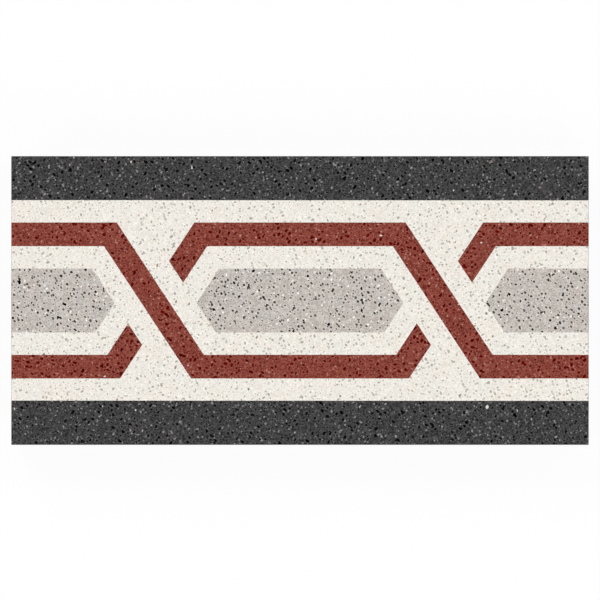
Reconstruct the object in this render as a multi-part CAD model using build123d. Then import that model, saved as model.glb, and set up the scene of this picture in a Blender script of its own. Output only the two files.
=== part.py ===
from build123d import *
import os

# Cement skirting tile: one pressed slab with a flat decorated face and a flat bedding back.
# The slab lies on its back. X runs along the tile, Y up its face, Z out of the wall.
# The origin is the middle of the back. All sizes are in millimetres.

# Driving dimensions
LENGTH = 200.0  # along the wall, two repeats of the border
HEIGHT = 100.0  # up the wall
THICKNESS = 16.0  # back to face
FACE_ARRIS = 0.5  # bevel round the face, where the tile leaves its mould
BACK_ARRIS = 1.0  # bevel round the back, which lets the bedding mortar squeeze past
CORNER_ARRIS = 0.25  # bevel down the four upright corners, which look square


def arrised_section(width):
    """A cut through the slab: a rectangle of this width with its face and back corners bevelled."""
    half = width / 2
    right_side = [
        (half - BACK_ARRIS, 0),
        (half, BACK_ARRIS),
        (half, THICKNESS - FACE_ARRIS),
        (half - FACE_ARRIS, THICKNESS),
    ]
    left_side = [(-x, z) for x, z in reversed(right_side)]
    return make_face(Polyline(*right_side, *left_side, close=True))


def skirting_tile():
    """The slab that the two sections and the plan have in common, so that every edge has its arris."""
    along_the_wall = extrude(Plane.XZ * arrised_section(LENGTH), HEIGHT / 2, both=True)
    up_the_wall = extrude(Plane.YZ * arrised_section(HEIGHT), LENGTH / 2, both=True)
    outline = Rectangle(LENGTH, HEIGHT)
    plan = extrude(chamfer(outline.vertices(), CORNER_ARRIS), THICKNESS)
    return along_the_wall & up_the_wall & plan


os.makedirs("parts", exist_ok=True)
export_step(skirting_tile(), "parts/skirting_tile.step")
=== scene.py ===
"""A pressed cement skirting tile, lying face up on a pale floor and seen from straight above.

The face is terrazzo in four coloured mixes: two dark bands, and between them a border of two strands
that cross and part again around long hexagons. The coloured mixes reach a few millimetres down the
sides, and below them the tile is plain grey mortar.
"""

import logging
import math
from collections.abc import Callable, Iterator
from dataclasses import dataclass, field
from enum import Enum
from typing import Any, ClassVar

import bmesh
import bpy
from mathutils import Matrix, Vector


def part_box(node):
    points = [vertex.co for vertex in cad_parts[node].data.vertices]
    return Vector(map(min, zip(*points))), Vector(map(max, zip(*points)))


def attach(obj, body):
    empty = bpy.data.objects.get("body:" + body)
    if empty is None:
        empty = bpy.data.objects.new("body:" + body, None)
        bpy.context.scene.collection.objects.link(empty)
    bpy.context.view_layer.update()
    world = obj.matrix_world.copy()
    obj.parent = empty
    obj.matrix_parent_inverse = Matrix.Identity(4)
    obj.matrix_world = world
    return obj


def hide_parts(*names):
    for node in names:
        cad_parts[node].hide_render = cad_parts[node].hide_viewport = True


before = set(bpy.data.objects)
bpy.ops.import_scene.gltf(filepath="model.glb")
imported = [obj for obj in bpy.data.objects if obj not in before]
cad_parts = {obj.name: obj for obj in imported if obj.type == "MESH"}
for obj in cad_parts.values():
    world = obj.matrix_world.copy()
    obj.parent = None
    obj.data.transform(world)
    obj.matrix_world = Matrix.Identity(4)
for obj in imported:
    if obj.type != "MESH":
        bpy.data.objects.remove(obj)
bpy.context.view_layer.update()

MM = 0.001  # one millimetre in metres
TILE_NODE = "skirting_tile"
LOG = logging.getLogger("skirting_tile")

# Sockets of the Mix node when it mixes colours
MIX_A, MIX_B, MIX_RESULT = 6, 7, 2
# Where a new stop of a colour ramp is put before it gets its own place
MIDWAY = 0.5


def linear(hex_colour: str) -> tuple[float, float, float, float]:
    """Turn an sRGB hex colour into the linear colour that a shader takes.

    Args:
        hex_colour: The colour as "#RRGGBB".

    Returns:
        Linear red, green and blue, and an alpha of 1.
    """
    channels = [int(hex_colour[i:i + 2], 16) / 255 for i in (1, 3, 5)]
    red, green, blue = (c / 12.92 if c <= 0.04045 else ((c + 0.055) / 1.055) ** 2.4 for c in channels)
    return red, green, blue, 1.0


def add_node(
    tree: bpy.types.NodeTree, kind: str, inputs: dict[Any, Any], **settings: Any
) -> bpy.types.Node:
    """Add a node with its settings and links.

    Args:
        tree: The node tree that it goes into.
        kind: Blender's name for the kind of node.
        inputs: A socket to link from, or a value to set, for each input by its name or number.
        settings: The node's own properties.

    Returns:
        The new node.
    """
    node = tree.nodes.new(kind)
    for name, value in settings.items():
        setattr(node, name, value)
    for name, value in inputs.items():
        if isinstance(value, bpy.types.NodeSocket):
            tree.links.new(value, node.inputs[name])
        else:
            node.inputs[name].default_value = value
    return node


@dataclass(frozen=True)
class ChipGrade:
    """One sieve grade of crushed stone in a mix, cut flat by the grinding of the face.

    Attributes:
        spacing: Distance between the places where a chip can lie.
        share: Part of those places that hold a chip where they lie thickest.
        radius: Half the width of the smallest chip and of the largest.
        colours: Stone colours, which the chips take at random, with those in between.
        turns: Directions that the long chips lie in, from the tile's length, in degrees.
        rim: How far the paste right at a chip turns to the mix's rim colour.
        stretch: Length of a chip to its width.
    """

    spacing: float
    share: float
    radius: tuple[float, float]
    colours: tuple[str, ...]
    turns: tuple[float, ...]
    rim: float = 0.0
    stretch: float = 1.6


@dataclass(frozen=True)
class CementMix:
    """A cement paste with stone in it, as one pour of the tile.

    Attributes:
        name: What the mix is.
        paste: Darker and lighter colour of the paste's grains.
        rim_colour: Colour of the paste along the edge of a chip.
        grades: Stone grades, the later ones lying over the earlier.
        paste_roughness: Roughness of the paste.
        stone_roughness: Roughness of the stone, which grinds smoother than the paste.
        relief: Height of the surface's unevenness.
        cloud: Size of the patches where the paste's tint changes.
        sand: Size of the paste's grains, drawn coarser than real ones so that they show.
        rim_width: Width of the rim of paste along the edge of a chip.
        rim_core: Part of the rim's width, next to the chip, where it doesn't fade yet.
        painted_side_shade: Brightness of the arris and sides to that of the face, a painted shade that
            darkens their colour where shade falls.
        clump: Size of the patches where the chips lie thicker or thinner.
        thinning: Part of the chips that is missing where they lie thinnest.
        scatter: How far the chips stray from even spacing, from 0 to 1.
        ragged: How uneven the chips' outlines are, in spacings.
        size_skew: Power of the chance that sets a chip's size. A higher one makes more small chips.
    """

    name: str
    paste: tuple[str, str]
    rim_colour: str
    grades: tuple[ChipGrade, ...]
    paste_roughness: float = 0.6
    stone_roughness: float = 0.35
    relief: float = 0.012 * MM
    cloud: float = 6 * MM
    sand: float = 0.6 * MM
    rim_width: float = 0.4 * MM
    rim_core: float = 0.0
    painted_side_shade: float = 0.6
    clump: float = 8 * MM
    thinning: float = 0.06
    scatter: float = 0.85
    ragged: float = 0.35
    size_skew: float = 2.0

    # Slight tints of the paste, laid over its colour
    WARM: ClassVar[str] = "#FFFCFA"
    COOL: ClassVar[str] = "#FBFEFD"
    # Part of a noise texture's range that the paste's shades and tints are spread over
    SOFT_RANGE: ClassVar[tuple[float, float]] = (0.3, 0.7)
    # Upward part of the surface's direction over which the painted shade of the arris and sides fades into
    # the face's own colour
    SIDE_SHADE_FADE: ClassVar[tuple[float, float]] = (0.5, 0.95)
    # Detail of the soft noises, and of the grit in the surface
    SOFT_DETAIL: ClassVar[float] = 1.0
    GRIT_DETAIL: ClassVar[float] = 3.0
    # Bumps in a chip's outline to a spacing
    OUTLINE_BUMPS: ClassVar[float] = 2.0
    # Refraction of cement and stone, and the part of its shine that an unpolished face keeps
    IOR: ClassVar[float] = 1.5
    SHINE: ClassVar[float] = 0.12
    # Tilt of the chip patterns in the slab, so that no row of chips lines up with a side
    TILT: ClassVar[tuple[float, float]] = (0.4, 0.3)
    # Shift between the chip patterns of two sowings
    SHIFT: ClassVar[float] = 37.3 * MM

    def material(self) -> bpy.types.Material:
        """Make the shader of this mix.

        Returns:
            The new material.
        """
        material = bpy.data.materials.new(self.name)
        material.use_nodes = True
        tree = material.node_tree
        tree.nodes.clear()
        coordinates = add_node(tree, "ShaderNodeTexCoord", {}).outputs
        place = coordinates["Object"]
        colour = self._paste_colour(tree, place)
        stone: float | bpy.types.NodeSocket = 0.0
        turned = [(grade, turn) for grade in self.grades for turn in grade.turns]
        sowings = [
            self._chips(tree, place, grade, turn, number) for number, (grade, turn) in enumerate(turned, 1)
        ]
        # The rims tint the paste alone, so they lie under all the chips
        layers = [(rim, linear(self.rim_colour)) for _, rim, _ in sowings]
        layers += [(chips, stone_colour) for chips, _, stone_colour in sowings]
        for share, over in layers:
            mix = add_node(
                tree, "ShaderNodeMix", {0: share, MIX_A: colour, MIX_B: over}, data_type="RGBA"
            )
            colour = mix.outputs[MIX_RESULT]
        for chips, _, _ in sowings:
            either = add_node(tree, "ShaderNodeMath", {0: stone, 1: chips}, operation="MAXIMUM")
            stone = either.outputs[0]
        # Painted shade: the colour is darkened where the surface turns away from straight up, on the arris
        # and the sides, to stand in for the shade that falls there
        upward = add_node(tree, "ShaderNodeSeparateXYZ", {0: coordinates["Normal"]}).outputs["Z"]
        painted_shade = add_node(
            tree,
            "ShaderNodeMapRange",
            {
                "Value": upward,
                "From Min": self.SIDE_SHADE_FADE[0],
                "From Max": self.SIDE_SHADE_FADE[1],
                "To Min": self.painted_side_shade,
                "To Max": 1.0,
            },
        )
        shaded = add_node(
            tree, "ShaderNodeVectorMath", {0: colour, "Scale": painted_shade.outputs[0]}, operation="SCALE"
        )
        roughness = add_node(
            tree,
            "ShaderNodeMapRange",
            {"Value": stone, "To Min": self.paste_roughness, "To Max": self.stone_roughness},
        )
        shader = add_node(
            tree,
            "ShaderNodeBsdfPrincipled",
            {
                "Base Color": shaded.outputs[0],
                "Roughness": roughness.outputs[0],
                "Normal": self._bump(tree, place, stone),
                "IOR": self.IOR,
                "Specular IOR Level": self.SHINE,
            },
        )
        add_node(tree, "ShaderNodeOutputMaterial", {"Surface": shader.outputs[0]})
        return material

    def _paste_colour(
        self, tree: bpy.types.NodeTree, place: bpy.types.NodeSocket
    ) -> bpy.types.NodeSocket:
        """Colour the paste by its fine grains, and tint it in soft patches.

        Args:
            tree: The material's node tree.
            place: Socket with the place on the tile.

        Returns:
            Socket with the paste's colour.
        """
        layers = []
        for size, colours in ((self.sand, self.paste), (self.cloud, (self.WARM, self.COOL))):
            spot = add_node(
                tree, "ShaderNodeMapping", {"Vector": place, "Scale": (size,) * 3}, vector_type="TEXTURE"
            )
            noise = add_node(
                tree,
                "ShaderNodeTexNoise",
                {"Vector": spot.outputs[0], "Scale": 1.0, "Detail": self.SOFT_DETAIL},
            )
            share = add_node(
                tree,
                "ShaderNodeMapRange",
                {
                    "Value": noise.outputs[0],
                    "From Min": self.SOFT_RANGE[0],
                    "From Max": self.SOFT_RANGE[1],
                },
            )
            mix = add_node(
                tree,
                "ShaderNodeMix",
                {0: share.outputs[0], MIX_A: linear(colours[0]), MIX_B: linear(colours[1])},
                data_type="RGBA",
            )
            layers.append(mix.outputs[MIX_RESULT])
        tinted = add_node(
            tree,
            "ShaderNodeMix",
            {0: 1.0, MIX_A: layers[0], MIX_B: layers[1]},
            data_type="RGBA",
            blend_type="MULTIPLY",
        )
        return tinted.outputs[MIX_RESULT]

    def _chips(
        self,
        tree: bpy.types.NodeTree,
        place: bpy.types.NodeSocket,
        grade: ChipGrade,
        turn: float,
        number: int,
    ) -> tuple[bpy.types.NodeSocket, bpy.types.NodeSocket, bpy.types.NodeSocket]:
        """Sow chips of one grade: uneven pebbles about scattered places, some of them left empty.

        Args:
            tree: The material's node tree.
            place: Socket with the place on the tile.
            grade: The grade of stone.
            turn: Direction of the long chips from the tile's length, in degrees.
            number: The sowing's number, which shifts it against the others.

        Returns:
            Socket with 1 on the chips, socket with the strength of the pale rim, and socket with the
            chips' colour.
        """
        shift = number * self.SHIFT
        spot = add_node(
            tree,
            "ShaderNodeMapping",
            {
                "Vector": place,
                "Location": (shift, -shift, shift),
                "Rotation": (*self.TILT, math.radians(turn)),
                "Scale": (grade.spacing * grade.stretch, grade.spacing, grade.spacing),
            },
            vector_type="TEXTURE",
        )
        wobble = add_node(
            tree,
            "ShaderNodeTexNoise",
            {"Vector": spot.outputs[0], "Scale": self.OUTLINE_BUMPS, "Detail": self.SOFT_DETAIL},
        )
        ragged = add_node(
            tree,
            "ShaderNodeVectorMath",
            {0: wobble.outputs["Color"], 1: (self.ragged,) * 3, 2: spot.outputs[0]},
            operation="MULTIPLY_ADD",
        )
        cell = add_node(
            tree,
            "ShaderNodeTexVoronoi",
            {"Vector": ragged.outputs[0], "Scale": 1.0, "Randomness": self.scatter},
            feature="F1",
        )
        chance = add_node(tree, "ShaderNodeSeparateColor", {0: cell.outputs["Color"]}).outputs
        patch = add_node(
            tree,
            "ShaderNodeTexNoise",
            {
                "Vector": spot.outputs[0],
                "Scale": grade.spacing / self.clump,
                "Detail": self.SOFT_DETAIL,
            },
        )
        share = add_node(
            tree,
            "ShaderNodeMapRange",
            {
                "Value": patch.outputs[0],
                "From Min": self.SOFT_RANGE[0],
                "From Max": self.SOFT_RANGE[1],
                "To Min": grade.share * (1 - self.thinning),
                "To Max": grade.share,
            },
        )
        filled = add_node(
            tree, "ShaderNodeMath", {0: chance[0], 1: share.outputs[0]}, operation="LESS_THAN"
        )
        smallest, largest = (radius / grade.spacing for radius in grade.radius)
        growth = add_node(tree, "ShaderNodeMath", {0: chance[1], 1: self.size_skew}, operation="POWER")
        radius = add_node(
            tree,
            "ShaderNodeMapRange",
            {"Value": growth.outputs[0], "To Min": smallest, "To Max": largest},
        )
        depth = add_node(
            tree,
            "ShaderNodeMath",
            {0: radius.outputs[0], 1: cell.outputs["Distance"]},
            operation="SUBTRACT",
        )
        inside = add_node(
            tree, "ShaderNodeMath", {0: depth.outputs[0], 1: 0.0}, operation="GREATER_THAN"
        )
        beside = add_node(
            tree,
            "ShaderNodeMapRange",
            {
                "Value": depth.outputs[0],
                "From Min": -self.rim_width / grade.spacing,
                "From Max": -self.rim_width * self.rim_core / grade.spacing,
                "To Max": grade.rim,
            },
        )
        chips, rim = (
            add_node(
                tree, "ShaderNodeMath", {0: filled.outputs[0], 1: part.outputs[0]}, operation="MULTIPLY"
            )
            for part in (inside, beside)
        )
        ramp = add_node(tree, "ShaderNodeValToRGB", {"Fac": chance[2]})
        stops = ramp.color_ramp.elements
        while len(stops) < len(grade.colours):
            stops.new(MIDWAY)
        for index, hex_colour in enumerate(grade.colours):
            stops[index].position = index / max(len(grade.colours) - 1, 1)
            stops[index].color = linear(hex_colour)
        return chips.outputs[0], rim.outputs[0], ramp.outputs["Color"]

    def _bump(
        self, tree: bpy.types.NodeTree, place: bpy.types.NodeSocket, stone: bpy.types.NodeSocket
    ) -> bpy.types.NodeSocket:
        """Raise the stone a hair above the paste and roughen both.

        Args:
            tree: The material's node tree.
            place: Socket with the place on the tile.
            stone: Socket with 1 on the stone.

        Returns:
            Socket with the bumped normal.
        """
        spot = add_node(
            tree, "ShaderNodeMapping", {"Vector": place, "Scale": (self.sand,) * 3}, vector_type="TEXTURE"
        )
        grit = add_node(
            tree,
            "ShaderNodeTexNoise",
            {"Vector": spot.outputs[0], "Scale": 1.0, "Detail": self.GRIT_DETAIL},
        )
        height = add_node(tree, "ShaderNodeMath", {0: grit.outputs[0], 1: stone}, operation="ADD")
        bump = add_node(
            tree,
            "ShaderNodeBump",
            {"Height": height.outputs[0], "Distance": self.relief, "Strength": 1.0},
        )
        return bump.outputs[0]


class Pour(Enum):
    """The mixes that the tile is pressed from."""

    # Black-pigmented cement with black and grey stone: dark, with pale and jet specks
    CHARCOAL = CementMix(
        name="charcoal_terrazzo",
        paste=("#181718", "#4E4D4E"),
        rim_colour="#575657",
        grades=(
            ChipGrade(
                spacing=1.15 * MM,
                share=0.95,
                radius=(0.14 * MM, 0.36 * MM),
                colours=("#605F60", "#787677", "#989594"),
                turns=(30, 110),
            ),
            ChipGrade(
                spacing=1.43 * MM,
                share=0.84,
                radius=(0.17 * MM, 0.56 * MM),
                colours=("#000000", "#020202", "#060606"),
                turns=(55, 140),
                rim=0.6,
            ),
            ChipGrade(
                spacing=2.2 * MM,
                share=0.1,
                radius=(0.25 * MM, 0.4 * MM),
                colours=("#A8A49F", "#E4E0D8", "#8C7A66"),
                turns=(85,),
            ),
        ),
    )
    # White cement with pale marble: warm white, with small grey specks
    IVORY = CementMix(
        name="ivory_terrazzo",
        paste=("#DFD9D1", "#F5F1EA"),
        rim_colour="#F8F4ED",
        grades=(
            ChipGrade(
                spacing=1.25 * MM,
                share=0.95,
                radius=(0.16 * MM, 0.32 * MM),
                colours=("#FEFBF5", "#FFF8EC", "#FFFDFA"),
                turns=(140,),
            ),
            ChipGrade(
                spacing=1.1 * MM,
                share=0.95,
                radius=(0.14 * MM, 0.44 * MM),
                colours=("#D2CCC2", "#C0BAB0", "#A8A196"),
                turns=(25, 115),
                rim=0.6,
            ),
            ChipGrade(
                spacing=2.2 * MM,
                share=0.15,
                radius=(0.25 * MM, 0.4 * MM),
                colours=("#726E68", "#8E887F", "#A58A6E"),
                turns=(80,),
            ),
        ),
        thinning=0.12,
    )
    # Iron-oxide cement with dark red stone: brick red, with maroon specks
    BRICK = CementMix(
        name="brick_red_terrazzo",
        paste=("#5E1910", "#964E42"),
        rim_colour="#9F5548",
        grades=(
            ChipGrade(
                spacing=1.15 * MM,
                share=0.95,
                radius=(0.14 * MM, 0.35 * MM),
                colours=("#985B4F", "#A46C60", "#B58277"),
                turns=(75, 155),
            ),
            ChipGrade(
                spacing=1.36 * MM,
                share=1.0,
                radius=(0.18 * MM, 0.56 * MM),
                colours=("#440000", "#520000", "#600602"),
                turns=(65, 160),
                rim=0.6,
            ),
            ChipGrade(
                spacing=2.2 * MM,
                share=0.09,
                radius=(0.28 * MM, 0.4 * MM),
                colours=("#C48A7E", "#F2E4DE"),
                turns=(10,),
            ),
        ),
    )
    # Grey cement with dark marble: dove grey, thickly specked with dark grey and black
    DOVE = CementMix(
        name="dove_grey_terrazzo",
        paste=("#A19A94", "#CCC5BF"),
        rim_colour="#D6CFC9",
        grades=(
            ChipGrade(
                spacing=1.33 * MM,
                share=0.9,
                radius=(0.16 * MM, 0.38 * MM),
                colours=("#DED7D1", "#FFFBF6", "#EADFD0"),
                turns=(50,),
                stretch=1.3,
            ),
            ChipGrade(
                spacing=1.08 * MM,
                share=1.0,
                radius=(0.2 * MM, 0.47 * MM),
                colours=("#746B63", "#524B44", "#2A241E"),
                turns=(130,),
                rim=0.7,
                stretch=1.3,
            ),
            ChipGrade(
                spacing=2.8 * MM,
                share=0.75,
                radius=(0.3 * MM, 0.54 * MM),
                colours=("#030202", "#0C0A09", "#3A2D20"),
                turns=(100,),
                rim=0.6,
                stretch=1.3,
            ),
        ),
        sand=0.5 * MM,
        rim_width=0.42 * MM,
        rim_core=0.5,
        scatter=0.8,
        ragged=0.5,
        size_skew=1.5,
    )
    # Grey cement with river sand, pressed dry and not ground: dull, gritty and uneven
    MORTAR = CementMix(
        name="backing_mortar",
        paste=("#94918C", "#AEABA6"),
        rim_colour="#AEABA6",
        grades=(
            ChipGrade(
                spacing=1.1 * MM,
                share=1.0,
                radius=(0.2 * MM, 0.45 * MM),
                colours=("#878480", "#B9B5AE", "#A0988C"),
                turns=(15,),
            ),
            ChipGrade(
                spacing=2.6 * MM,
                share=0.75,
                radius=(0.4 * MM, 0.9 * MM),
                colours=("#74716D", "#C4C0B9", "#8F877B"),
                turns=(95,),
            ),
        ),
        paste_roughness=0.92,
        stone_roughness=0.75,
        relief=0.12 * MM,
        cloud=14 * MM,
        sand=1.0 * MM,
        # No painted shade on the mortar's sides
        painted_side_shade=1.0,
    )


@dataclass(frozen=True)
class BorderPattern:
    """Two strands that cross at every repeat and part again around a long hexagon.

    The heights stack up from the middle of the tile: half a hexagon, a gap, a strand, a gap and a band.

    Attributes:
        repeat: Length of the pattern before it comes again.
        hexagon: Height of the grey hexagon.
        gap: Pale space between neighbouring figures.
        strand: Width of a red strand.
        slant: Run along the tile for each unit up it, on the slanted stretches.
        drop: How far the crossings lie below the middle of the tile.
    """

    repeat: float = 100 * MM
    hexagon: float = 22.1 * MM
    gap: float = 7.75 * MM
    strand: float = 8.2 * MM
    slant: float = 0.658
    drop: float = 0.87 * MM

    @property
    def hexagon_inset(self) -> float:
        """Distance from a strand's middle line to the hexagon inside it."""
        return self.strand / 2 + self.gap

    @property
    def bar(self) -> float:
        """Height of the level stretches' middle lines above and below the middle of the tile."""
        return self.hexagon / 2 + self.hexagon_inset

    @property
    def band_edge(self) -> float:
        """Height at which the dark bands begin, above and below the middle of the tile."""
        return self.bar + self.hexagon_inset

    def cut_heights(self) -> Iterator[float]:
        """Give the height of each level line of the pattern.

        Yields:
            Heights above the middle of the tile.
        """
        for height in (
            self.band_edge,
            self.bar + self.strand / 2,
            self.bar - self.strand / 2,
            self.hexagon / 2,
        ):
            yield height
            yield -height

    def slanted_cuts(self, length: float) -> Iterator[tuple[Vector, Vector]]:
        """Give each slanted line of the pattern.

        Args:
            length: Length of the tile.

        Yields:
            A point on the line, and its normal in the face.
        """
        crossings = round(length / self.repeat)
        for number in range(crossings):
            middle = Vector(((number - (crossings - 1) / 2) * self.repeat, -self.drop, 0))
            for lean in (self.slant, -self.slant):
                normal = Vector((1, -lean, 0)).normalized()
                for inset in (self.strand / 2, self.hexagon_inset):
                    yield middle + normal * inset, normal
                    yield middle - normal * inset, normal

    def pour_at(self, x: float, y: float) -> Pour:
        """Say which mix a place on the face is poured from.

        Args:
            x: Distance along the tile from its middle.
            y: Height above the tile's middle.

        Returns:
            The mix.
        """
        if abs(y) > self.band_edge:
            return Pour.CHARCOAL
        half = self.repeat / 2
        from_link = (x + half) % self.repeat - half
        depths = [self._depth(from_link + step * self.repeat, y) for step in (-1, 0, 1)]
        if max(depths) > self.hexagon_inset:
            return Pour.DOVE
        on_strand = min(abs(depth) for depth in depths) < self.strand / 2
        return Pour.BRICK if on_strand and not self._passes_under(x, y) else Pour.IVORY

    def _depth(self, x: float, y: float) -> float:
        """Measure how far a place lies inside the middle line of the strands round a hexagon.

        Args:
            x: Distance along the tile from the hexagon's middle.
            y: Height above the tile's middle.

        Returns:
            The distance, below 0 outside that line.
        """
        stretch = math.hypot(1, self.slant)
        rise = (y + self.drop) * self.slant
        sides = [(self.repeat / 2 + along + up) / stretch for along in (x, -x) for up in (rise, -rise)]
        return min(*sides, self.bar - y, self.bar + y)

    def _passes_under(self, x: float, y: float) -> bool:
        """Tell whether a strand is broken here to pass under the other, which leans to the left.

        Args:
            x: Distance along the tile from its middle.
            y: Height above the tile's middle.

        Returns:
            Whether the place is in the break.
        """
        stretch = math.hypot(1, self.slant)
        from_crossing = x % self.repeat - self.repeat / 2
        rise = (y + self.drop) * self.slant
        from_upper = abs(from_crossing + rise) / stretch
        from_lower = abs(from_crossing - rise) / stretch
        return from_lower < self.strand / 2 < from_upper < self.hexagon_inset


class Element(Enum):
    """The kinds of mesh element that are selected, with a mesh's names for them."""

    EDGE = "edges"
    FACE = "faces"


class Zone(Enum):
    """The parts of the tile that the pressing leaves uneven, with the names of their vertex groups."""

    MORTAR = "mortar"
    WEAR_LINE = "wear_line"


class Sway(Enum):
    """The ways that an uneven part moves, with Blender's names for them."""

    IN_AND_OUT = "NORMAL"
    UP_AND_DOWN = "Z"


@dataclass(frozen=True)
class Unevenness:
    """Bumps of one size that the pressing leaves in a part of the tile.

    Attributes:
        zone: The part.
        size: Width of the bumps.
        depth: Height from the lowest place to the highest.
        sway: The way that they move the part.
        level: Part of the depth that lies below the even surface.
    """

    zone: Zone
    size: float
    depth: float
    sway: Sway
    level: float


@dataclass(frozen=True)
class MapPatch:
    """Where one side of the slab lies in the square map that its finish is stored in.

    Attributes:
        facing: Outward direction of the side.
        axes: Numbers of the slab's axes that run along the map and up it.
        corner: Lower left corner of the side in the map, in map widths.
        scale: Map widths to a metre of the side.
    """

    facing: tuple[int, int, int]
    axes: tuple[int, int]
    corner: tuple[float, float]
    scale: float


@dataclass
class SkirtingTile:
    """The tile itself: a slab with eased edges, its pattern as cut lines in the face, and a rough back.

    Attributes:
        pattern: The border on the face.
        wear_layer: Depth of the coloured mixes below the face.
        face_arris: Rounding round the face.
        back_arris: Rounding round the back.
        corner_arris: Rounding down the upright corners.
        arris_steps: Mesh steps across a rounding.
        grid: Mesh spacing on the sides and back.
        unevenness: Bumps of the mortar, which stay inside the slab, and of the line above it.
    """

    pattern: BorderPattern = field(default_factory=BorderPattern)
    wear_layer: float = 4 * MM
    face_arris: float = 0.5 * MM
    back_arris: float = 1.0 * MM
    corner_arris: float = 0.25 * MM
    arris_steps: int = 3
    grid: float = 1 * MM
    unevenness: tuple[Unevenness, ...] = (
        Unevenness(Zone.WEAR_LINE, size=7 * MM, depth=1.2 * MM, sway=Sway.UP_AND_DOWN, level=0.5),
        Unevenness(Zone.MORTAR, size=10 * MM, depth=0.35 * MM, sway=Sway.IN_AND_OUT, level=0.9),
        Unevenness(Zone.MORTAR, size=2.5 * MM, depth=0.25 * MM, sway=Sway.IN_AND_OUT, level=0.9),
    )
    low: Vector = field(init=False)
    high: Vector = field(init=False)

    # Cosine above which two directions count as the same
    ALIGNED: ClassVar[float] = 0.999
    # Most cuts that an edge takes at a time
    MOST_CUTS: ClassVar[int] = 99
    # Length in grid steps from which an edge is divided
    TOO_LONG: ClassVar[float] = 1.5
    # Edges at least this part of the longest are divided along with it
    LIKE_LENGTH: ClassVar[float] = 0.7
    # Cut pieces of the face that meet at less than this are joined again
    FLAT_ANGLE: ClassVar[float] = math.radians(0.5)
    # Steepest edge that is still shaded as a smooth one
    SMOOTH_ANGLE: ClassVar[float] = math.radians(40)
    # The map that a stored finish is laid out in, and the space round each side in it, in map widths
    MAP_NAME: ClassVar[str] = "OFBake"
    MAP_MARGIN: ClassVar[float] = 0.004
    # Cosine from which a mesh face lies with a side, low enough for the corners where three meet
    FACING: ClassVar[float] = 0.57

    def __post_init__(self) -> None:
        """Take the slab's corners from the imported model."""
        low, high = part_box(TILE_NODE)
        self.low = Vector(low)
        self.high = Vector(high)

    @property
    def size(self) -> Vector:
        """Length, height and thickness of the slab."""
        return self.high - self.low

    @property
    def wear_line(self) -> float:
        """Height at which the coloured mixes end on the sides."""
        return self.high.z - self.wear_layer

    def build(self) -> bpy.types.Object:
        """Model the tile and dress it.

        Returns:
            The finished piece.
        """
        tile = self._slab()
        self._divide(tile)
        self._cut_pattern(tile)
        self._pour(tile)
        self._roughen(tile)
        self._smooth(tile)
        self._lay_out(tile)
        return tile

    def _slab(self) -> bpy.types.Object:
        """Add the slab and round its edges.

        Returns:
            The slab.
        """
        bpy.ops.object.select_all(action="DESELECT")
        bpy.ops.mesh.primitive_cube_add(size=1, location=(self.low + self.high) / 2, scale=self.size)
        tile = bpy.context.object
        tile.name = tile.data.name = "terrazzo_skirting_tile"
        bpy.ops.object.transform_apply(location=True, rotation=True, scale=True)
        widest = max(self.face_arris, self.back_arris, self.corner_arris)
        weights = tile.data.attributes.new("bevel_weight_edge", "FLOAT", "EDGE")
        for edge in tile.data.edges:
            heights = [tile.data.vertices[v].co.z for v in edge.vertices]
            if max(heights) - min(heights) > self.face_arris:
                arris = self.corner_arris
            else:
                arris = self.face_arris if heights[0] > self.wear_line else self.back_arris
            weights.data[edge.index].value = arris / widest
        bevel = tile.modifiers.new("arris", "BEVEL")
        bevel.limit_method = "WEIGHT"
        bevel.width = widest
        bevel.segments = self.arris_steps
        bpy.ops.object.modifier_apply(modifier=bevel.name)
        return tile

    def _select(self, tile: bpy.types.Object, kind: Element, wanted: Callable[[Any], bool]) -> None:
        """Select the mesh elements of one kind that are wanted, and nothing else.

        Args:
            tile: The piece, in edit mode.
            kind: The kind of element.
            wanted: Test of one element.
        """
        bpy.ops.mesh.select_mode(type=kind.name)
        bpy.ops.mesh.select_all(action="DESELECT")
        mesh = bmesh.from_edit_mesh(tile.data)
        for element in getattr(mesh, kind.value):
            element.select_set(wanted(element))
        mesh.select_flush_mode()
        bmesh.update_edit_mesh(tile.data)

    def _divide(self, tile: bpy.types.Object) -> None:
        """Divide the sides and the back into a fine grid, with a line where the coloured mixes end.

        Args:
            tile: The slab.
        """
        bpy.ops.object.mode_set(mode="EDIT")
        bpy.ops.mesh.select_all(action="SELECT")
        bpy.ops.mesh.bisect(plane_co=(0, 0, self.wear_line), plane_no=(0, 0, 1))
        for axis in range(3):
            longest = self._longest_edge(tile, axis)
            while longest > self.TOO_LONG * self.grid:
                least = self.LIKE_LENGTH * longest
                self._select(tile, Element.EDGE, lambda edge: self._length_along(edge, axis) > least)
                bpy.ops.mesh.subdivide(number_cuts=min(round(longest / self.grid) - 1, self.MOST_CUTS))
                longest = self._longest_edge(tile, axis)
        self._select(tile, Element.FACE, self._is_face)
        bpy.ops.mesh.dissolve_faces()
        bpy.ops.object.mode_set(mode="OBJECT")

    def _longest_edge(self, tile: bpy.types.Object, axis: int) -> float:
        """Give the length of the longest edge along an axis."""
        return max(self._length_along(edge, axis) for edge in bmesh.from_edit_mesh(tile.data).edges)

    def _length_along(self, edge: bmesh.types.BMEdge, axis: int) -> float:
        """Give an edge's length if it runs along an axis, and 0 if it doesn't."""
        step = edge.verts[1].co - edge.verts[0].co
        return step.length if abs(step[axis]) > self.ALIGNED * step.length else 0.0

    def _is_face(self, face: bmesh.types.BMFace) -> bool:
        """Tell whether a mesh face is part of the tile's flat face."""
        return face.normal.z > self.ALIGNED and face.calc_center_median().z > self.wear_line

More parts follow.
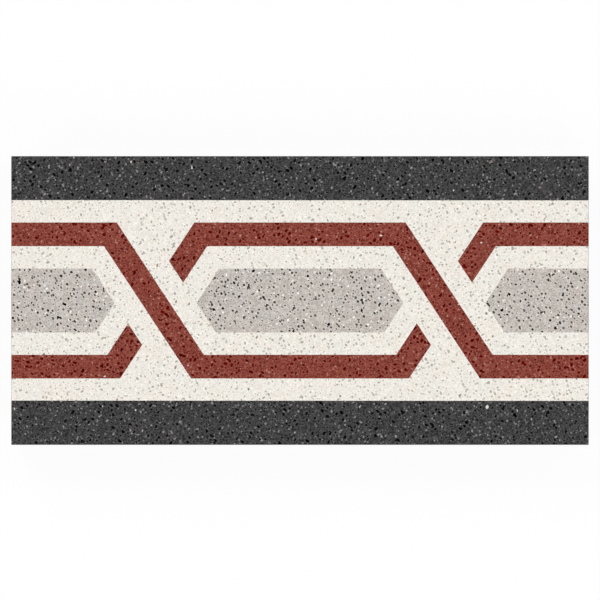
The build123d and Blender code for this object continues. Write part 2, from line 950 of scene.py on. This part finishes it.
    def _cut_pattern(self, tile: bpy.types.Object) -> None:
        """Cut the pattern's lines into the face, and its level lines over the edge and down the ends.

        Args:
            tile: The slab.
        """
        bpy.ops.object.mode_set(mode="EDIT")
        for point, normal in self.pattern.slanted_cuts(self.size.x):
            self._select(tile, Element.FACE, self._is_face)
            bpy.ops.mesh.bisect(plane_co=point, plane_no=normal)
        for height in self.pattern.cut_heights():
            self._select(tile, Element.FACE, lambda face: face.calc_center_median().z > self.wear_line)
            bpy.ops.mesh.bisect(plane_co=(0, height, 0), plane_no=(0, 1, 0))
        bpy.ops.object.mode_set(mode="OBJECT")

    def _pour(self, tile: bpy.types.Object) -> None:
        """Give every mesh face its mix, and join the cut pieces of the face that share one.

        Args:
            tile: The slab with its pattern cut in.
        """
        pours = list(Pour)
        for pour in pours:
            tile.data.materials.append(pour.value.material())
        for face in tile.data.polygons:
            coloured = face.center.z > self.wear_line
            pour = self.pattern.pour_at(face.center.x, face.center.y) if coloured else Pour.MORTAR
            face.material_index = pours.index(pour)
        bpy.ops.object.mode_set(mode="EDIT")
        self._select(tile, Element.FACE, self._is_face)
        bpy.ops.mesh.dissolve_limited(angle_limit=self.FLAT_ANGLE, delimit={"MATERIAL"})
        bpy.ops.object.mode_set(mode="OBJECT")

    def _roughen(self, tile: bpy.types.Object) -> None:
        """Make the mortar uneven and the line where it meets the coloured mixes wavy.

        Args:
            tile: The slab.
        """
        members: dict[Zone, list[int]] = {zone: [] for zone in Zone}
        for vertex in tile.data.vertices:
            below = self.wear_line - vertex.co.z
            if below > self.grid / 2:
                members[Zone.MORTAR].append(vertex.index)
            elif below > -self.grid / 2:
                members[Zone.WEAR_LINE].append(vertex.index)
        for zone, indices in members.items():
            tile.vertex_groups.new(name=zone.value).add(indices, 1.0, "REPLACE")
        for bumps in self.unevenness:
            texture = bpy.data.textures.new(bumps.zone.value, "CLOUDS")
            texture.noise_scale = bumps.size
            texture.noise_depth = 1
            displace = tile.modifiers.new(bumps.zone.value, "DISPLACE")
            displace.texture = texture
            displace.texture_coords = "LOCAL"
            displace.vertex_group = bumps.zone.value
            displace.direction = bumps.sway.value
            displace.mid_level = bumps.level
            displace.strength = bumps.depth
            bpy.ops.object.modifier_apply(modifier=displace.name)

    def _smooth(self, tile: bpy.types.Object) -> None:
        """Shade the roundings smoothly into the flat faces beside them, which stay flat.

        Args:
            tile: The finished mesh.
        """
        bpy.ops.object.shade_smooth_by_angle(angle=self.SMOOTH_ANGLE)
        normals = tile.modifiers.new("normals", "WEIGHTED_NORMAL")
        normals.keep_sharp = True
        bpy.ops.object.modifier_apply(modifier=normals.name)

    def _map_patches(self) -> Iterator[MapPatch]:
        """Stack the sides of the slab in a square map, the face at the top and a small back at the foot.

        Yields:
            The patches, those that also take in the edges beside them first.
        """
        scale = (1 - 2 * self.MAP_MARGIN) / self.size.x
        length, height, thickness = self.size * scale
        rise = 1 - self.MAP_MARGIN - height
        yield MapPatch((0, 0, 1), (0, 1), (self.MAP_MARGIN, rise), scale)
        upright = []
        for facing, axes in (((0, 1, 0), (0, 2)), ((0, -1, 0), (0, 2)), ((1, 0, 0), (1, 2))):
            rise -= self.MAP_MARGIN + thickness
            upright.append(MapPatch(facing, axes, (self.MAP_MARGIN, rise), scale))
        beside = length - height + self.MAP_MARGIN
        upright.append(MapPatch((-1, 0, 0), (1, 2), (beside, rise), scale))
        room = (rise - 2 * self.MAP_MARGIN) / self.size.y
        yield MapPatch((0, 0, -1), (0, 1), (self.MAP_MARGIN, self.MAP_MARGIN), room)
        yield from upright

    def _lay_out(self, tile: bpy.types.Object) -> None:
        """Lay the sides of the tile out flat, so that most of a stored finish goes to the face.

        Args:
            tile: The finished mesh.
        """
        patches = list(self._map_patches())
        layer = tile.data.uv_layers.new(name=self.MAP_NAME)
        for face in tile.data.polygons:
            patch = next(p for p in patches if face.normal.dot(p.facing) > self.FACING)
            for corner in face.loop_indices:
                place = tile.data.vertices[tile.data.loops[corner].vertex_index].co - self.low
                layer.data[corner].uv = [
                    start + patch.scale * place[axis] for start, axis in zip(patch.corner, patch.axes)
                ]


class Lamp(Enum):
    """The soft lamps: their bearing from the tile's length in degrees, and their part of the light."""

    KEY = (120, 0.32)
    FILL = (30, 0.24)
    BACK_LEFT = (210, 0.23)
    BACK_RIGHT = (300, 0.21)


@dataclass
class Studio:
    """The floor, the soft light and the camera.

    Attributes:
        frame_width: Width of the picture at the tile's face.
        aim_above: How far above the tile's middle the camera points.
        lens: Focal length in millimetres.
        floor_size: Side of the floor.
        floor_glow: Part of the floor's white that is its own, where it is looked at.
        lamp_light: Brightness that the lamps alone give a white surface.
        lamp_tilt: Angle of the lamps from straight overhead, so that none is mirrored into the camera.
        lamp_width: Angle that a lamp fills, which softens its shadow.
        tent: Brightness of the surroundings at heights from 0, level, to 1, overhead.
    """

    frame_width: float = 207.73 * MM
    aim_above: float = 0.17 * MM
    lens: float = 200.0
    floor_size: float = 6.0
    floor_glow: float = 0.93
    lamp_light: float = 0.7
    lamp_tilt: float = math.radians(55)
    lamp_width: float = math.radians(25)
    tent: tuple[tuple[float, float], ...] = ((0.0, 0.2), (0.35, 0.8), (0.5, 0.8), (0.8, 0.03))

    # Paint of the floor, and the white that it and the backdrop show
    FLOOR_PAINT: ClassVar[str] = "#FAFAFA"
    WHITE: ClassVar[str] = "#FFFFFF"

    def build(self, face_height: float) -> None:
        """Set up the stage around the tile.

        Args:
            face_height: Height of the tile's face above the floor.
        """
        bpy.context.scene.view_settings.view_transform = "Standard"
        self._floor()
        self._world()
        self._lamps()
        self._camera(face_height)

    def _seen(self, tree: bpy.types.NodeTree) -> bpy.types.NodeSocket:
        """Give 1 for rays that show the background itself and 0 for those that light the tile.

        Args:
            tree: The node tree that asks.

        Returns:
            Socket with the answer.
        """
        path = add_node(tree, "ShaderNodeLightPath", {}).outputs
        glossy = add_node(
            tree,
            "ShaderNodeMath",
            {0: path["Is Glossy Ray"], 1: path["Is Transmission Ray"]},
            operation="MAXIMUM",
        )
        seen = add_node(
            tree, "ShaderNodeMath", {0: path["Is Camera Ray"], 1: glossy.outputs[0]}, operation="MAXIMUM"
        )
        return seen.outputs[0]

    def _floor(self) -> None:
        """Lay a plain white floor that keeps the tile's soft shadow."""
        bpy.ops.object.select_all(action="DESELECT")
        bpy.ops.mesh.primitive_plane_add(size=self.floor_size)
        floor = bpy.context.object
        floor.name = "studio_floor"
        material = bpy.data.materials.new("white_studio_floor")
        material.use_nodes = True
        tree = material.node_tree
        tree.nodes.clear()
        paint = add_node(tree, "ShaderNodeBsdfDiffuse", {"Color": linear(self.FLOOR_PAINT)})
        glow = add_node(tree, "ShaderNodeEmission", {"Color": linear(self.WHITE), "Strength": 1.0})
        share = add_node(
            tree, "ShaderNodeMath", {0: self._seen(tree), 1: self.floor_glow}, operation="MULTIPLY"
        )
        mix = add_node(
            tree, "ShaderNodeMixShader", {0: share.outputs[0], 1: paint.outputs[0], 2: glow.outputs[0]}
        )
        add_node(tree, "ShaderNodeOutputMaterial", {"Surface": mix.outputs[0]})
        floor.data.materials.append(material)

    def _world(self) -> None:
        """Surround the tile with soft light that is dim where the face would mirror it."""
        world = bpy.data.worlds.new("light_tent")
        bpy.context.scene.world = world
        world.use_nodes = True
        tree = world.node_tree
        tree.nodes.clear()
        direction = add_node(tree, "ShaderNodeTexCoord", {}).outputs["Generated"]
        height = add_node(tree, "ShaderNodeSeparateXYZ", {0: direction}).outputs["Z"]
        walls = add_node(tree, "ShaderNodeValToRGB", {"Fac": height})
        stops = walls.color_ramp.elements
        while len(stops) < len(self.tent):
            stops.new(MIDWAY)
        for stop, (upward, brightness) in zip(stops, self.tent):
            stop.position = upward
            stop.color = (brightness, brightness, brightness, 1.0)
        light = add_node(tree, "ShaderNodeBackground", {"Color": walls.outputs["Color"], "Strength": 1.0})
        path = add_node(tree, "ShaderNodeLightPath", {}).outputs
        backdrop = add_node(tree, "ShaderNodeBackground", {"Color": linear(self.WHITE), "Strength": 1.0})
        mix = add_node(
            tree,
            "ShaderNodeMixShader",
            {0: path["Is Camera Ray"], 1: light.outputs[0], 2: backdrop.outputs[0]},
        )
        add_node(tree, "ShaderNodeOutputWorld", {"Surface": mix.outputs[0]})

    def _lamps(self) -> None:
        """Set the lamps around the tile, a little stronger from the upper left."""
        for place in Lamp:
            bearing, part = place.value
            lamp = bpy.data.lights.new(place.name.lower(), "SUN")
            lamp.angle = self.lamp_width
            lamp.energy = math.pi * self.lamp_light * part / math.cos(self.lamp_tilt)
            holder = bpy.data.objects.new(lamp.name, lamp)
            holder.rotation_euler = (0, self.lamp_tilt, math.radians(bearing))
            bpy.context.collection.objects.link(holder)

    def _camera(self, face_height: float) -> None:
        """Hang the camera straight above the tile.

        Args:
            face_height: Height of the tile's face above the floor.
        """
        camera = bpy.data.cameras.new("camera")
        camera.lens = self.lens
        distance = self.frame_width * self.lens / camera.sensor_width
        camera.clip_end = 2 * self.floor_size
        holder = bpy.data.objects.new("camera", camera)
        holder.location = (0, self.aim_above, face_height + distance)
        bpy.context.collection.objects.link(holder)
        bpy.context.scene.camera = holder


def main() -> None:
    """Build the tile and its stage."""
    logging.basicConfig(level=logging.INFO, format="%(name)s: %(message)s")
    maker = SkirtingTile()
    tile = maker.build()
    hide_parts(TILE_NODE)
    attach(tile, "root")
    LOG.info("%s: %d faces, %d mixes", tile.name, len(tile.data.polygons), len(tile.data.materials))
    Studio().build(maker.high.z)
    LOG.info("studio: floor, tent, lamps and camera")


if __name__ == "__main__":
    main()
